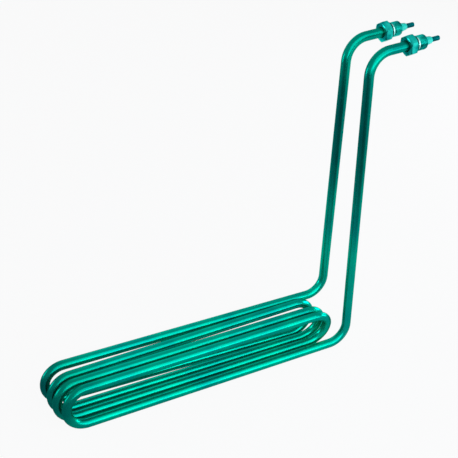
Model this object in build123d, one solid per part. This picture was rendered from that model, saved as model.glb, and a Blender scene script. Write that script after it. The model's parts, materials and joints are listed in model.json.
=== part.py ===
"""Tubular heating element: a bent sheath with two screwed bushings, and what it holds."""

import os
from math import cos, radians, tan

from build123d import *

# All lengths are in millimetres and all angles in degrees.

# Sheath
tube_diameter = 8.0
tube_wall = 0.7

# Coil: four upper and four lower runs, laid side by side from the front to the back
coil_length = 280.0
coil_width = 40.0
row_pitch = 9.7
level_distance = 35.2
bend_flat = 0.4

# Left bends, from the front row to the back row: the coil is bent by hand, and each bend
# stands back a little less than the one before it, with its lower corner a little higher
front_left_setback = 6.6
second_left_setback = 2.4
third_left_setback = 1.3
second_left_lift = 1.8
third_left_lift = 3.2
back_left_lift = 5.8
front_left_drop = 0.6
back_left_rise = 2.6

# Right bends, from the front to the back: how far each corner stands back from the coil's end
first_upper_setback = 19.5
first_lower_setback = 19.2
second_upper_setback = 21.5
second_lower_setback = 19.8
last_upper_setback = 18.8
last_lower_setback = 29.0

# The last right bend starts close to the back row's run and ends close to the third row's
last_upper_gap = 0.2
last_lower_gap = 1.0
last_upper_lift = 0.8

# Legs
leg_bend_radius = 17.0
top_bend_radius = 18.5
back_leg_setback = 7.5
front_leg_lean = -1.45
back_leg_lean = 0.45
terminal_height = 275.6
front_leg_drop = 1.8
terminal_rise = 4.8
seat_overhang = 28.6

# Screwed bushings, measured from the sealing shoulder of the hexagon
hex_across_flats = 15.0
hex_length = 6.5
hex_face_share = 0.93
hex_chamfer_angle = 30.0
neck_diameter = 10.4
neck_length = 4.5
thread_diameter = 12.0
stem_length = 11.0
stem_chamfer = 0.8
braze_gap = 0.05
bore_countersink = 0.6

# Sealing rings
ring_diameter = 13.6
ring_thickness = 1.6
ring_edge_radius = 0.4
ring_clearance = 0.05

# Insulators and end seals
insulator_spigot_length = 3.0
insulator_base_diameter = 7.7
insulator_nose_diameter = 5.6
insulator_length = 7.0
insulator_edge = 0.4
insulator_clearance = 0.1
seal_length = 5.0

# Winding and terminal pins
core_diameter = 3.0
pin_depth = 26.0
stud_diameter = 4.0
stud_length = 8.0
stud_chamfer = 0.5
fill_clearance = 0.02

# Values that follow from the sizes above
tube_radius = tube_diameter / 2
tube_bore_radius = tube_radius - tube_wall
core_radius = core_diameter / 2
low_level = tube_radius
high_level = low_level + level_distance
right_bend_radius = (level_distance - bend_flat) / 2
front_row = tube_radius
second_row = front_row + row_pitch
third_row = second_row + row_pitch
back_row = coil_width - tube_radius
last_upper_row = back_row - tube_diameter - last_upper_gap
last_lower_row = third_row + tube_diameter + last_lower_gap
right_end = coil_length - tube_radius
fill_end = stem_length - insulator_spigot_length - seal_length
winding_end = stem_length - pin_depth
pin_tip = stem_length + insulator_length + stud_length
seat_x = coil_length + seat_overhang


# Left bends from the front to the back: setback, row, lift of the lower and the upper corner
left_bends = [
    (front_left_setback, front_row, 0.0, -front_left_drop),
    (second_left_setback, second_row, second_left_lift, 0.0),
    (third_left_setback, third_row, third_left_lift, 0.0),
    (0.0, back_row, back_left_lift, back_left_rise),
]

# Right bends from the front to the back: lift, setback and row of the upper corner, then
# setback and row of the lower corner
right_bends = [
    (0.0, first_upper_setback, front_row, first_lower_setback, second_row),
    (0.0, second_upper_setback, second_row, second_lower_setback, third_row),
    (last_upper_lift, last_upper_setback, last_upper_row, last_lower_setback, last_lower_row),
]


def leg(foot, height, lean):
    """The corner at the top of a leg and the point where its stub meets the sealing shoulder."""
    corner_x = foot.X + (height - foot.Z) * tan(radians(lean))
    corner = Vector(corner_x, foot.Y, height)
    seat_height = height + (seat_x - corner_x) * tan(radians(terminal_rise))
    return corner, Vector(seat_x, foot.Y, seat_height)


front_foot = Vector(right_end, front_row, low_level)
back_foot = Vector(right_end - back_leg_setback, back_row, high_level)
front_corner, front_seat = leg(front_foot, terminal_height - front_leg_drop, front_leg_lean)
back_corner, back_seat = leg(back_foot, terminal_height, back_leg_lean)


def left_bend(setback, row, lower_lift, upper_lift):
    """Lower and upper corner of a left bend, with the radius that both have."""
    low = Vector(tube_radius + setback, row, low_level + lower_lift)
    high = Vector(tube_radius + setback, row, high_level + upper_lift)
    radius = (high.Z - low.Z - bend_flat) / 2
    return [(low, radius), (high, radius)]


def right_bend(upper_lift, upper_setback, upper_row, lower_setback, lower_row):
    """Upper and lower corner of a right bend, which steps from one row to the next."""
    high = Vector(right_end - upper_setback, upper_row, high_level + upper_lift)
    low = Vector(right_end - lower_setback, lower_row, low_level)
    return [(high, right_bend_radius), (low, right_bend_radius)]


def element_path(end):
    """The centre line from stub to stub. Each end lies at this distance past its shoulder."""
    along = Vector(1, 0, tan(radians(terminal_rise))).normalized() * end
    corners = [(front_corner, top_bend_radius), (front_foot, leg_bend_radius)]
    corners += left_bend(*left_bends[0])
    for right, left in zip(right_bends, left_bends[1:]):
        corners += right_bend(*right) + left_bend(*left)
    corners += [(back_foot, leg_bend_radius), (back_corner, top_bend_radius)]
    points = [front_seat + along] + [point for point, _ in corners] + [back_seat + along]
    return FilletPolyline(*points, radius=[radius for _, radius in corners])


def swept(path, outer_radius, inner_radius=0.0):
    section = Circle(outer_radius)
    if inner_radius:
        section -= Circle(inner_radius)
    return sweep(Plane(origin=path @ 0, z_dir=path % 0) * section, path=path)


def sheath_tube():
    return swept(element_path(stem_length), tube_radius, tube_bore_radius)


def magnesia_fill():
    outer = tube_bore_radius - fill_clearance
    return swept(element_path(fill_end), outer, core_radius + fill_clearance)


def resistance_winding():
    return swept(element_path(winding_end), core_radius)


def turned(*outline):
    """A solid turned round +X from an outline of (distance, radius) corners."""
    return revolve(Plane.XZ * make_face(Polyline(*outline, close=True)), Axis.X)


def screwed_bushing():
    flat_radius = hex_across_flats / 2
    corner_radius = flat_radius / cos(radians(30))
    face_radius = flat_radius * hex_face_share
    bevel = (corner_radius - face_radius) * tan(radians(hex_chamfer_angle))
    hexagon = RegularPolygon(flat_radius, 6, major_radius=False, rotation=30)
    body = extrude(Plane.YZ * hexagon, amount=-hex_length)
    body &= turned(
        (-hex_length, 0),
        (-hex_length, face_radius),
        (bevel - hex_length, corner_radius),
        (-bevel, corner_radius),
        (0, face_radius),
        (0, 0),
    )
    neck, thread = neck_diameter / 2, thread_diameter / 2
    step = thread - neck
    body += turned(
        (0, 0),
        (0, neck),
        (neck_length - step, neck),
        (neck_length, thread),
        (stem_length - stem_chamfer, thread),
        (stem_length, thread - stem_chamfer),
        (stem_length, 0),
    )
    bore = tube_radius + braze_gap
    return body - turned(
        (-hex_length, 0),
        (-hex_length, bore + bore_countersink),
        (bore_countersink - hex_length, bore),
        (stem_length, bore),
        (stem_length, 0),
    )


def sealing_ring():
    inner = neck_diameter / 2 + ring_clearance
    outer = ring_diameter / 2
    ring = turned((0, inner), (0, outer), (ring_thickness, outer), (ring_thickness, inner))
    rims = ring.edges().filter_by(GeomType.CIRCLE).sort_by(SortBy.RADIUS)[-2:]
    return fillet(rims, ring_edge_radius)


def end_seal():
    inner = core_radius + fill_clearance
    outer = tube_bore_radius - fill_clearance
    end = fill_end + seal_length
    return turned((fill_end, inner), (fill_end, outer), (end, outer), (end, inner))


def insulator():
    bore = core_radius + insulator_clearance
    spigot = tube_bore_radius - insulator_clearance
    base, nose = insulator_base_diameter / 2, insulator_nose_diameter / 2
    start, end = stem_length - insulator_spigot_length, stem_length + insulator_length
    return turned(
        (start, bore),
        (start, spigot),
        (stem_length, spigot),
        (stem_length, base - insulator_edge),
        (stem_length + insulator_edge, base),
        (end - insulator_edge, nose),
        (end, nose - insulator_edge),
        (end, bore),
    )


def terminal_pin():
    shoulder, stud = stem_length + insulator_length, stud_diameter / 2
    return turned(
        (winding_end, 0),
        (winding_end, core_radius),
        (shoulder, core_radius),
        (shoulder, stud),
        (pin_tip - stud_chamfer, stud),
        (pin_tip, stud - stud_chamfer),
        (pin_tip, 0),
    )


def nodes():
    parts = {
        "sheath_tube": sheath_tube(),
        "magnesia_fill": magnesia_fill(),
        "resistance_winding": resistance_winding(),
    }
    fittings = {
        "screwed_bushing": screwed_bushing(),
        "sealing_ring": sealing_ring(),
        "end_seal": end_seal(),
        "insulator": insulator(),
        "terminal_pin": terminal_pin(),
    }
    for side, seat in {"front": front_seat, "back": back_seat}.items():
        place = Pos(*seat) * Rot(Y=-terminal_rise)
        for name, fitting in fittings.items():
            parts[f"{name}_{side}"] = place * fitting
    return parts


def main():
    parts = nodes()
    box = Compound(list(parts.values())).bounding_box()
    to_origin = Pos(-box.center().X, -box.center().Y, -box.min.Z)
    os.makedirs("parts", exist_ok=True)
    for name, part in parts.items():
        export_step(to_origin * part, f"parts/{name}.step")


main()
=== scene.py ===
"""Looks of the tubular heating element: materials, cut threads, studio and camera."""

import json
from math import cos, pi, radians, sin

import bpy
from mathutils import Matrix, Vector


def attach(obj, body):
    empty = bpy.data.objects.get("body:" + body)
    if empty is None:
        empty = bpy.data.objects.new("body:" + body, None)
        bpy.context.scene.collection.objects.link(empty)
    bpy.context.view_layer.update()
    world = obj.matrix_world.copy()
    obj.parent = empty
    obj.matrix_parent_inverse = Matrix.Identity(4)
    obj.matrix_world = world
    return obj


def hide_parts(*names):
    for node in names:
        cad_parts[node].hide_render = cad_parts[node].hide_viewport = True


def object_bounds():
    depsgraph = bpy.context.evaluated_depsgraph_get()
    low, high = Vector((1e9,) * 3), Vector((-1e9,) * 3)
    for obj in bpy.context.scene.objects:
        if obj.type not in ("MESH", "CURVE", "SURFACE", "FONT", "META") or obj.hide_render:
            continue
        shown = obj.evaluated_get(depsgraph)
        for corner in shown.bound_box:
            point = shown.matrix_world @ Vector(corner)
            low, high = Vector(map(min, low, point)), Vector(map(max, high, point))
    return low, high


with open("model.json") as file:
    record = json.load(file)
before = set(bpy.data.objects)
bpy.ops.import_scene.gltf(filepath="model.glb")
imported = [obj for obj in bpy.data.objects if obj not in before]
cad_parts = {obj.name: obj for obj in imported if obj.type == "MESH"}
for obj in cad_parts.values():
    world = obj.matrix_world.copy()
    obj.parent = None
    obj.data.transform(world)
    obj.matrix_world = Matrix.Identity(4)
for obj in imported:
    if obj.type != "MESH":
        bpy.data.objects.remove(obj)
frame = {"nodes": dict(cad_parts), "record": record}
cad_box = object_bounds()

# All lengths are in metres. The photograph is taken as 458 by 458 pixels.
MM = 0.001
PHOTO_SIDE = 458
SIDES = ("front", "back")

# Camera, in the row frame: place, heading, tilt and roll, with the focal length in pixels
CAMERA_PLACE = Vector((-0.30418, -0.52325, 0.48742))
CAMERA_HEADING = 0.51498
CAMERA_TILT = 0.5234
CAMERA_ROLL = 0.0334
CAMERA_FOCAL = 871.6
SENSOR_WIDTH = 36.0

# Screwed bushing, measured from its sealing shoulder along the stem
HEX_HALF_FLATS = 7.5 * MM
HEX_LENGTH = 6.5 * MM
HEX_FACE_RADIUS = 0.93 * HEX_HALF_FLATS
HEX_CORNER_RADIUS = HEX_HALF_FLATS / cos(radians(30))
HEX_CHAMFER = radians(30)
NECK_RADIUS = 5.2 * MM
NECK_LENGTH = 4.5 * MM
RING_THICKNESS = 1.6 * MM
STEM_RADIUS = 6.0 * MM
STEM_LENGTH = 11.0 * MM
STEM_PITCH = 1.0 * MM
STEM_CHAMFER = 0.8 * MM
BORE_RADIUS = 4.05 * MM
BORE_COUNTERSINK = 0.6 * MM
BUSHING_SECTORS = 120
BEVEL_STEPS = 8

# Terminal pin, measured from the same shoulder
PIN_START = -15.0 * MM
PIN_RADIUS = 1.5 * MM
STUD_START = 18.0 * MM
STUD_END = 26.0 * MM
STUD_RADIUS = 2.0 * MM
STUD_PITCH = 0.7 * MM
STUD_CHAMFER = 0.5 * MM
PIN_SECTORS = 60

# A thread's depth and its crest and root flats, as shares of its pitch
THREAD_DEPTH = 0.6
CREST_FLAT = 1 / 8
ROOT_FLAT = 1 / 4
RINGS_PER_PITCH = 12
SHARP_EDGE = radians(35)

# The floor darkens towards the front, outside the picture. In the metal it looks white behind
# and to the right of the part, and dark in front and to the left. The pairs are places along Y
# (fronts) and X (sides) where each change starts and ends.
FLOOR_SIZE = 12.0
FLOOR_DARK = (0.10, 0.11, 0.13)
FLOOR_PALE = (0.60, 0.66, 0.76)
FLOOR_ROUGHNESS = 0.9
FLOOR_FRONT = (-0.32, -0.16)
MIRRORED_FRONT = (-0.25, 0.25)
MIRRORED_LEFT = (-0.22, 0.05)
MIRRORED_RIGHT = (0.15, 0.40)

# Shares of plain white that the camera sees in the floor and the world, and the metal in the world
FLOOR_WHITE = 0.93
WORLD_WHITE = 1.0
WORLD_MIRRORED = 0.65
WORLD_STRENGTH = 0.15

# Soft lamps: name, place, width, height and power in watts
LAMPS = (
    ("high", (0.1, -1.2, 1.00), 2.0, 1.2, 11),
    ("low", (0.2, -1.2, 0.30), 2.0, 0.40, 7),
    ("right", (1.0, 0.0, 0.24), 0.9, 0.4, 6),
    ("left", (-0.9, 0.6, 0.22), 0.5, 0.4, 2),
    ("back", (0.2, 1.2, 0.8), 0.8, 0.8, 1),
)

# Sheath: colours along its stains, then those of draw marks, painted shade on the upper legs and
# the left bends, and rubs
TUBE_STAINS = (
    (0.30, (0.0, 0.300, 0.260)),
    (0.52, (0.0, 0.420, 0.300)),
    (0.72, (0.0, 0.500, 0.330)),
)
TUBE_MARK = (0.0, 0.190, 0.135)
# Painted shade on the upper part of the legs
TUBE_LEG_SHADE = (0.0, 0.060, 0.065)
# Painted shade on the left bends
TUBE_BEND_SHADE = (0.0, 0.075, 0.065)
TUBE_RUB = (0.02, 0.520, 0.430)

# Heights at which the draw marks turn from the coil's direction to the legs'
LEG_FOOT = ((0.040, 0.0), (0.055, 1.0))

# Painted shade: the upper part of the legs is darker: heights, and the share of the shade tint
# there
LEG_SHADE_HEIGHTS = ((0.10, 0.0), (0.18, 0.65), (0.235, 0.65), (0.262, 0.35))

# Painted shade: the left bends are darker than the runs, except at their foot: where that starts
# and where it is full, to the left and up
BEND_SHADE_LEFT = (-0.115, -0.158)
BEND_SHADE_FOOT = (0.004, 0.020)

# The metal's gloss keeps to the sheath's own hue
METALLIC = 0.9
GLOSS_TINT = (0.05, 0.80, 0.70, 1)
# Painted highlight: the whitish colour of the bushing's neck band
NECK_HIGHLIGHT = (0.45, 0.95, 0.90)

# Sockets of a mix node that is set to colours
MIX_SHARE, MIX_A, MIX_B, MIX_RESULT = 0, 6, 7, 2


def hex_radius(angle):
    """Distance from the axis to the side of a hexagon whose corners point up and down."""
    sixth = pi / 3
    return HEX_HALF_FLATS / cos((angle + sixth / 2) % sixth - sixth / 2)


def thread_radius(x, angle, radius, pitch):
    """Radius of a right-hand thread at a place along and round its axis."""
    turn = (x / pitch - angle / (2 * pi)) % 1
    from_crest = min(turn, 1 - turn)
    flank = (1 - CREST_FLAT - ROOT_FLAT) / 2
    share = (from_crest - CREST_FLAT / 2) / flank
    return radius - THREAD_DEPTH * pitch * min(max(share, 0), 1)


def steps(start, end, count):
    return [start + (end - start) * n / count for n in range(count + 1)]


def bushing_rings(angles):
    """The bushing's outline as rings of radii, from the back face out along the stem and back."""
    bevel = (HEX_CORNER_RADIUS - HEX_FACE_RADIUS) * sin(HEX_CHAMFER) / cos(HEX_CHAMFER)
    rings = []
    hexagon = steps(-HEX_LENGTH, bevel - HEX_LENGTH, BEVEL_STEPS) + steps(-bevel, 0, BEVEL_STEPS)
    for x in hexagon:
        from_face = min(x + HEX_LENGTH, -x)
        cone = HEX_FACE_RADIUS + from_face * cos(HEX_CHAMFER) / sin(HEX_CHAMFER)
        rings.append((x, [min(hex_radius(a), cone) for a in angles]))
    rings.append((0, [NECK_RADIUS] * len(angles)))
    lead_in = NECK_LENGTH - (STEM_RADIUS - NECK_RADIUS)
    count = round((STEM_LENGTH - lead_in) / STEM_PITCH * RINGS_PER_PITCH)
    for x in steps(lead_in, STEM_LENGTH, count):
        start_cone = NECK_RADIUS + (x - lead_in)
        end_cone = STEM_RADIUS - STEM_CHAMFER + (STEM_LENGTH - x)
        cone = min(start_cone, end_cone)
        threaded = [thread_radius(x, a, STEM_RADIUS, STEM_PITCH) for a in angles]
        rings.append((x, [min(radius, cone) for radius in threaded]))
    rings.append((STEM_LENGTH, [BORE_RADIUS] * len(angles)))
    rings.append((BORE_COUNTERSINK - HEX_LENGTH, [BORE_RADIUS] * len(angles)))
    rings.append((-HEX_LENGTH, [BORE_RADIUS + BORE_COUNTERSINK] * len(angles)))
    return rings


def pin_rings(angles):
    """The pin's outline as rings of radii, from its inner end to the tip of its stud."""
    rings = [(PIN_START, [PIN_RADIUS] * len(angles)), (STUD_START, [PIN_RADIUS] * len(angles))]
    count = round((STUD_END - STUD_START) / STUD_PITCH * RINGS_PER_PITCH)
    for x in steps(STUD_START, STUD_END, count):
        cone = STUD_RADIUS - STUD_CHAMFER + min(STUD_END - x, x - STUD_START + STUD_CHAMFER)
        threaded = [thread_radius(x, a, STUD_RADIUS, STUD_PITCH) for a in angles]
        rings.append((x, [min(radius, cone) for radius in threaded]))
    return rings


def ring_mesh(name, outline, sectors, closed, placement):
    """A mesh through rings round +X. It closes on itself, or else with a cap at each end."""
    angles = [2 * pi * n / sectors for n in range(sectors)]
    rings = outline(angles)
    points = []
    for x, radii in rings:
        points += [placement @ Vector((x, r * cos(a), r * sin(a))) for r, a in zip(radii, angles)]
    pairs = [(n, n + 1) for n in range(len(rings) - 1)]
    if closed:
        pairs.append((len(rings) - 1, 0))
    faces = []
    for a, b in pairs:
        for n in range(sectors):
            m = (n + 1) % sectors
            faces.append((a * sectors + n, b * sectors + n, b * sectors + m, a * sectors + m))
    if not closed:
        last = (len(rings) - 1) * sectors
        faces.append(tuple(range(sectors)))
        faces.append(tuple(last + n for n in reversed(range(sectors))))
    mesh = bpy.data.meshes.new(name)
    mesh.from_pydata(points, [], faces)
    mesh.polygons.foreach_set("use_smooth", [True] * len(mesh.polygons))
    mesh.set_sharp_from_angle(angle=SHARP_EDGE)
    piece = bpy.data.objects.new(name, mesh)
    bpy.context.scene.collection.objects.link(piece)
    return piece


def shoulder(side):
    """Placement of a terminal: its origin on the sealing shoulder and +X out along the stem."""
    mounts = {m["name"]: m for m in frame["record"]["mounts"]}
    thread = mounts[f"{side}_thread"]
    seal = Vector(mounts[f"{side}_seal_face"]["pos_m"])
    along = Vector(thread["axis"]).normalized()
    centre = Vector(thread["pos_m"])
    shoulder_point = centre - along * (centre - seal).dot(along)
    origin = shoulder_point - along * RING_THICKNESS
    across = Vector((0, 1, 0))
    up = along.cross(across)
    return Matrix.Translation(origin) @ Matrix((along, across, up)).transposed().to_4x4()


class Shader:
    """A material's node tree, with short calls for what every finish here uses."""

    def __init__(self, name):
        self.material = bpy.data.materials.new(name)
        self.material.use_nodes = True
        self.tree = self.material.node_tree
        self.surface = self.tree.nodes["Principled BSDF"]
        self.place = self.tree.nodes.new("ShaderNodeTexCoord").outputs["Object"]

    def node(self, kind, **values):
        node = self.tree.nodes.new(kind)
        for name, value in values.items():
            setattr(node, name, value)
        return node

    def link(self, out, socket):
        self.tree.links.new(out, socket)

    def noise(self, scale, detail, stretch=(1, 1, 1)):
        mapping = self.node("ShaderNodeMapping")
        mapping.inputs["Scale"].default_value = stretch
        self.link(self.place, mapping.inputs["Vector"])
        noise = self.node("ShaderNodeTexNoise")
        noise.inputs["Scale"].default_value = scale
        noise.inputs["Detail"].default_value = detail
        self.link(mapping.outputs["Vector"], noise.inputs["Vector"])
        return noise.outputs["Fac"]

    def ramp(self, value, *stops):
        """Colours, or grey levels, along a value. A stop is (place, colour or level)."""
        ramp = self.node("ShaderNodeValToRGB")
        elements = ramp.color_ramp.elements
        while len(elements) < len(stops):
            elements.new(0.5)
        for element, (place, colour) in zip(elements, stops):
            channels = colour if isinstance(colour, tuple) else (colour,) * 3
            element.position = place
            element.color = (*channels, 1)
        self.link(value, ramp.inputs["Fac"])
        return ramp.outputs["Color"]

    def mix(self, share, a, b):
        mix = self.node("ShaderNodeMix", data_type="RGBA")
        for index, value in ((MIX_SHARE, share), (MIX_A, a), (MIX_B, b)):
            socket = mix.inputs[index]
            if isinstance(value, bpy.types.NodeSocket):
                self.link(value, socket)
            elif isinstance(value, tuple):
                socket.default_value = (*value, 1)
            else:
                socket.default_value = value
        return mix.outputs[MIX_RESULT]

    def spread(self, value, low, high):
        """A value from 0 to 1 brought to the range from low to high."""
        spread = self.node("ShaderNodeMapRange")
        spread.inputs["To Min"].default_value = low
        spread.inputs["To Max"].default_value = high
        self.link(value, spread.inputs["Value"])
        return spread.outputs["Result"]

    def maths(self, operation, a, b):
        maths = self.node("ShaderNodeMath", operation=operation)
        self.link(a, maths.inputs[0])
        self.link(b, maths.inputs[1])
        return maths.outputs[0]

    def share(self, value, low, high):
        """A value brought from the range from low to high to 0 to 1."""
        share = self.node("ShaderNodeMapRange")
        share.inputs["From Min"].default_value = low
        share.inputs["From Max"].default_value = high
        self.link(value, share.inputs["Value"])
        return share.outputs["Result"]

    def bump(self, height, strength, distance):
        bump = self.node("ShaderNodeBump")
        bump.inputs["Strength"].default_value = strength
        bump.inputs["Distance"].default_value = distance
        self.link(height, bump.inputs["Height"])
        self.link(bump.outputs["Normal"], self.surface.inputs["Normal"])

    def set(self, name, value):
        self.surface.inputs[name].default_value = value

    def metal(self):
        """Makes the surface a metal whose gloss stays in its own hue, with no clear coat."""
        self.set("Metallic", METALLIC)
        self.set("Specular IOR Level", 0.0)
        self.set("Specular Tint", GLOSS_TINT)

    def colour(self, out):
        self.link(out, self.surface.inputs["Base Color"])

    def roughness(self, out):
        self.link(out, self.surface.inputs["Roughness"])


def drawn_tube():
    """Satin sheath: fine draw marks along the tube, soft stains, a few rubs and painted shade."""
    s = Shader("drawn_tube")
    along_x = s.noise(scale=900, detail=4, stretch=(0.03, 1, 1))
    along_z = s.noise(scale=900, detail=4, stretch=(1, 1, 0.03))
    height = s.node("ShaderNodeSeparateXYZ")
    s.link(s.place, height.inputs["Vector"])
    on_leg = s.ramp(height.outputs["Z"], *LEG_FOOT)
    marks = s.mix(on_leg, along_x, along_z)
    stains = s.noise(scale=38, detail=5)
    rubs = s.noise(scale=260, detail=6, stretch=(0.4, 1, 0.4))
    tint = s.ramp(stains, *TUBE_STAINS)
    tint = s.mix(s.spread(marks, low=0.0, high=0.30), tint, TUBE_MARK)
    # Painted shade: the upper part of the legs darkened with height
    tint = s.mix(s.ramp(height.outputs["Z"], *LEG_SHADE_HEIGHTS), tint, TUBE_LEG_SHADE)
    # Painted shade: the left bends darkened, except at their foot
    left_bends = s.share(height.outputs["X"], *BEND_SHADE_LEFT)
    above_foot = s.share(height.outputs["Z"], *BEND_SHADE_FOOT)
    painted_bend_shade = s.maths("MULTIPLY", left_bends, above_foot)
    tint = s.mix(s.spread(painted_bend_shade, low=0.0, high=0.6), tint, TUBE_BEND_SHADE)
    worn = s.ramp(rubs, (0.66, 0.0), (0.74, 1.0))
    s.colour(s.mix(s.spread(worn, low=0.0, high=0.35), tint, TUBE_RUB))
    s.roughness(s.spread(s.mix(0.5, marks, stains), low=0.16, high=0.36))
    s.metal()
    s.bump(marks, strength=0.12, distance=0.0002)
    return s.material


def machined(name, colour, dark, rough, highlight_band=None):
    """Turned metal: rings of fine tool marks, darker in stains, and a painted highlight band."""
    s = Shader(name)
    marks = s.noise(scale=1500, detail=3, stretch=(1, 0.15, 0.15))
    stains = s.noise(scale=120, detail=5)
    tint = s.mix(s.ramp(stains, (0.38, 1.0), (0.66, 0.0)), colour, dark)
    tint = s.mix(s.spread(marks, low=0.0, high=0.12), tint, dark)
    if highlight_band:
        axis, middle, half_width = highlight_band
        along = s.node("ShaderNodeVectorMath", operation="DOT_PRODUCT")
        along.inputs[1].default_value = axis
        s.link(s.place, along.inputs[0])
        inside = s.node("ShaderNodeMath", operation="COMPARE")
        inside.inputs[1].default_value = middle
        inside.inputs[2].default_value = half_width
        s.link(along.outputs["Value"], inside.inputs[0])
        # Painted highlight: the neck band turned whitish
        tint = s.mix(inside.outputs[0], tint, NECK_HIGHLIGHT)
    s.colour(tint)
    s.roughness(s.spread(marks, low=rough - 0.08, high=rough + 0.12))
    s.metal()
    s.bump(marks, strength=0.06, distance=0.0001)
    return s.material


def matt(name, colour, dark, rough, grain=900, relief=0.3):
    """A matt, finely grained solid, for rubber, ceramic, powder and sealant."""
    s = Shader(name)
    fine = s.noise(scale=grain, detail=4)
    stains = s.noise(scale=150, detail=4)
    tint = s.mix(s.ramp(stains, (0.35, 1.0), (0.70, 0.0)), colour, dark)
    s.colour(s.mix(s.spread(fine, low=0.0, high=0.3), tint, dark))
    s.roughness(s.spread(fine, low=rough - 0.08, high=rough + 0.10))
    s.set("Specular Tint", GLOSS_TINT)
    s.bump(fine, strength=relief, distance=0.0001)
    return s.material


def neck_highlight_band():
    """The neck's painted highlight, the same on both bushings: its axis, middle and half width
    along that.
    """
    front = shoulder("front")
    axis = front.col[0].to_3d()
    start, end = RING_THICKNESS, NECK_LENGTH - (STEM_RADIUS - NECK_RADIUS)
    middle = front.translation.dot(axis) + (start + end) / 2
    return axis, middle, (end - start) / 2


def finish_nodes():
    """Gives every node of the frame its finish. Returns those of the fittings."""
    bright, dull = (0.02, 0.720, 0.620), (0.0, 0.260, 0.250)
    wire, oxide = (0.26, 0.25, 0.23), (0.10, 0.09, 0.08)
    bushing = machined("machined_bushing", bright, dull, 0.18, neck_highlight_band())
    pin = machined("machined_pin", (0.0, 0.340, 0.360), (0.0, 0.150, 0.180), 0.36)
    finishes = {
        "sheath_tube": drawn_tube(),
        "magnesia_fill": matt("pressed_magnesia", (0.80, 0.80, 0.74), (0.62, 0.62, 0.56), 0.85),
        "resistance_winding": machined("resistance_wire", wire, oxide, 0.45),
    }
    fittings = {
        "sealing_ring": matt("ring_rubber", (0.001, 0.008, 0.008), (0.001, 0.004, 0.005), 0.75),
        "end_seal": matt("silicone_seal", (0.55, 0.50, 0.42), (0.42, 0.38, 0.32), 0.55),
        "insulator": matt(
            "steatite", (0.02, 0.80, 0.68), (0.0, 0.60, 0.52), 0.38, grain=700, relief=0.15
        ),
        "screwed_bushing": bushing,
        "terminal_pin": pin,
    }
    for side in SIDES:
        finishes.update({f"{name}_{side}": finish for name, finish in fittings.items()})
    for name, finish in finishes.items():
        mesh = frame["nodes"][name].data
        mesh.materials.clear()
        mesh.materials.append(finish)
    return fittings


def cut_threads(fittings):
    """Puts threaded bushings and pins in the place of the plain ones."""
    for side in SIDES:
        place = shoulder(side)
        bushing = ring_mesh(f"threaded_bushing_{side}", bushing_rings, BUSHING_SECTORS, True, place)
        pin = ring_mesh(f"threaded_pin_{side}", pin_rings, PIN_SECTORS, False, place)
        threaded = {
            "screwed_bushing": (bushing, "bushing_steel"),
            "terminal_pin": (pin, "pin_steel"),
        }
        for name, (piece, slot) in threaded.items():
            piece.data.materials.append(fittings[name])
            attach(piece, "root")
            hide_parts(f"{name}_{side}")


def seen_white(tree, shader, share, mirror_share):
    """Adds plain white, as camera, mirror and glass rays see it, to a floor or world shader."""
    paths = tree.nodes.new("ShaderNodeLightPath")
    shares = {"Is Camera Ray": share, "Is Glossy Ray": mirror_share, "Is Transmission Ray": share}
    total = None
    for name, ray_share in shares.items():
        scaled = tree.nodes.new("ShaderNodeMath")
        scaled.operation = "MULTIPLY"
        if isinstance(ray_share, bpy.types.NodeSocket):
            tree.links.new(ray_share, scaled.inputs[1])
        else:
            scaled.inputs[1].default_value = ray_share
        tree.links.new(paths.outputs[name], scaled.inputs[0])
        if total:
            either = tree.nodes.new("ShaderNodeMath")
            either.operation = "MAXIMUM"
            tree.links.new(total, either.inputs[0])
            tree.links.new(scaled.outputs[0], either.inputs[1])
            scaled = either
        total = scaled.outputs[0]
    is_world = isinstance(shader.node, bpy.types.ShaderNodeBackground)
    white = tree.nodes.new("ShaderNodeBackground" if is_world else "ShaderNodeEmission")
    white.inputs["Color"].default_value = (1, 1, 1, 1)
    mix = tree.nodes.new("ShaderNodeMixShader")
    tree.links.new(total, mix.inputs[0])
    tree.links.new(shader, mix.inputs[1])
    tree.links.new(white.outputs[0], mix.inputs[2])
    return mix.outputs[0]


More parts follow.
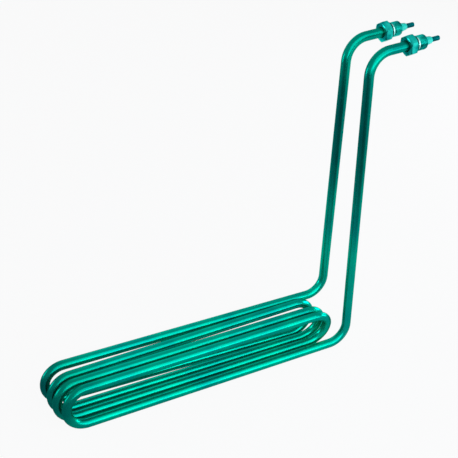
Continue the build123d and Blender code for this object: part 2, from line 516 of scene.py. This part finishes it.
def studio():
    """Pale floor, white surround and soft lamps."""
    world = bpy.data.worlds.new("studio")
    bpy.context.scene.world = world
    world.use_nodes = True
    tree = world.node_tree
    background = tree.nodes["Background"]
    background.inputs["Color"].default_value = (1, 1, 1, 1)
    background.inputs["Strength"].default_value = WORLD_STRENGTH
    surround = seen_white(tree, background.outputs[0], WORLD_WHITE, WORLD_MIRRORED)
    tree.links.new(surround, tree.nodes["World Output"].inputs["Surface"])

    bpy.ops.mesh.primitive_plane_add(size=FLOOR_SIZE, location=(0, 0, 0))
    floor = bpy.context.object
    floor.name = "floor"
    paper = Shader("pale_floor")
    axes = paper.node("ShaderNodeSeparateXYZ")
    paper.link(paper.place, axes.inputs["Vector"])
    from_front = paper.share(axes.outputs["Y"], *FLOOR_FRONT)
    paper.colour(paper.mix(from_front, FLOOR_DARK, FLOOR_PALE))
    paper.set("Roughness", FLOOR_ROUGHNESS)
    from_left = paper.share(axes.outputs["X"], *MIRRORED_LEFT)
    behind = paper.maths("MULTIPLY", paper.share(axes.outputs["Y"], *MIRRORED_FRONT), from_left)
    mirrored = paper.maths("MAXIMUM", behind, paper.share(axes.outputs["X"], *MIRRORED_RIGHT))
    shown = seen_white(paper.tree, paper.surface.outputs[0], FLOOR_WHITE, mirrored)
    paper.link(shown, paper.tree.nodes["Material Output"].inputs["Surface"])
    floor.data.materials.append(paper.material)

    for lamp_row in LAMPS:
        lamp(*lamp_row)


def lamp(name, place, width, height, power):
    """A soft lamp that looks at the middle of the part."""
    data = bpy.data.lights.new(name, "AREA")
    data.shape = "RECTANGLE"
    data.size = width
    data.size_y = height
    data.energy = power
    light = bpy.data.objects.new(name, data)
    bpy.context.scene.collection.objects.link(light)
    middle = (cad_box[0] + cad_box[1]) / 2
    light.location = place
    light.rotation_euler = (middle - light.location).to_track_quat("-Z", "Y").to_euler()


def camera():
    """The photograph's camera."""
    ahead = Vector(
        (
            cos(CAMERA_TILT) * sin(CAMERA_HEADING),
            cos(CAMERA_TILT) * cos(CAMERA_HEADING),
            -sin(CAMERA_TILT),
        )
    )
    level = Vector((cos(CAMERA_HEADING), -sin(CAMERA_HEADING), 0))
    upright = level.cross(ahead)
    right = level * cos(CAMERA_ROLL) + upright * sin(CAMERA_ROLL)
    up = upright * cos(CAMERA_ROLL) - level * sin(CAMERA_ROLL)
    data = bpy.data.cameras.new("camera")
    data.sensor_width = SENSOR_WIDTH
    data.lens = CAMERA_FOCAL / PHOTO_SIDE * SENSOR_WIDTH
    data.clip_start = 0.01
    eye = bpy.data.objects.new("camera", data)
    bpy.context.scene.collection.objects.link(eye)
    turn = Matrix((right, up, -ahead)).transposed().to_4x4()
    eye.matrix_world = Matrix.Translation(CAMERA_PLACE) @ turn
    bpy.context.scene.camera = eye


bpy.context.scene.view_settings.view_transform = "Standard"
camera()
studio()
cut_threads(finish_nodes())
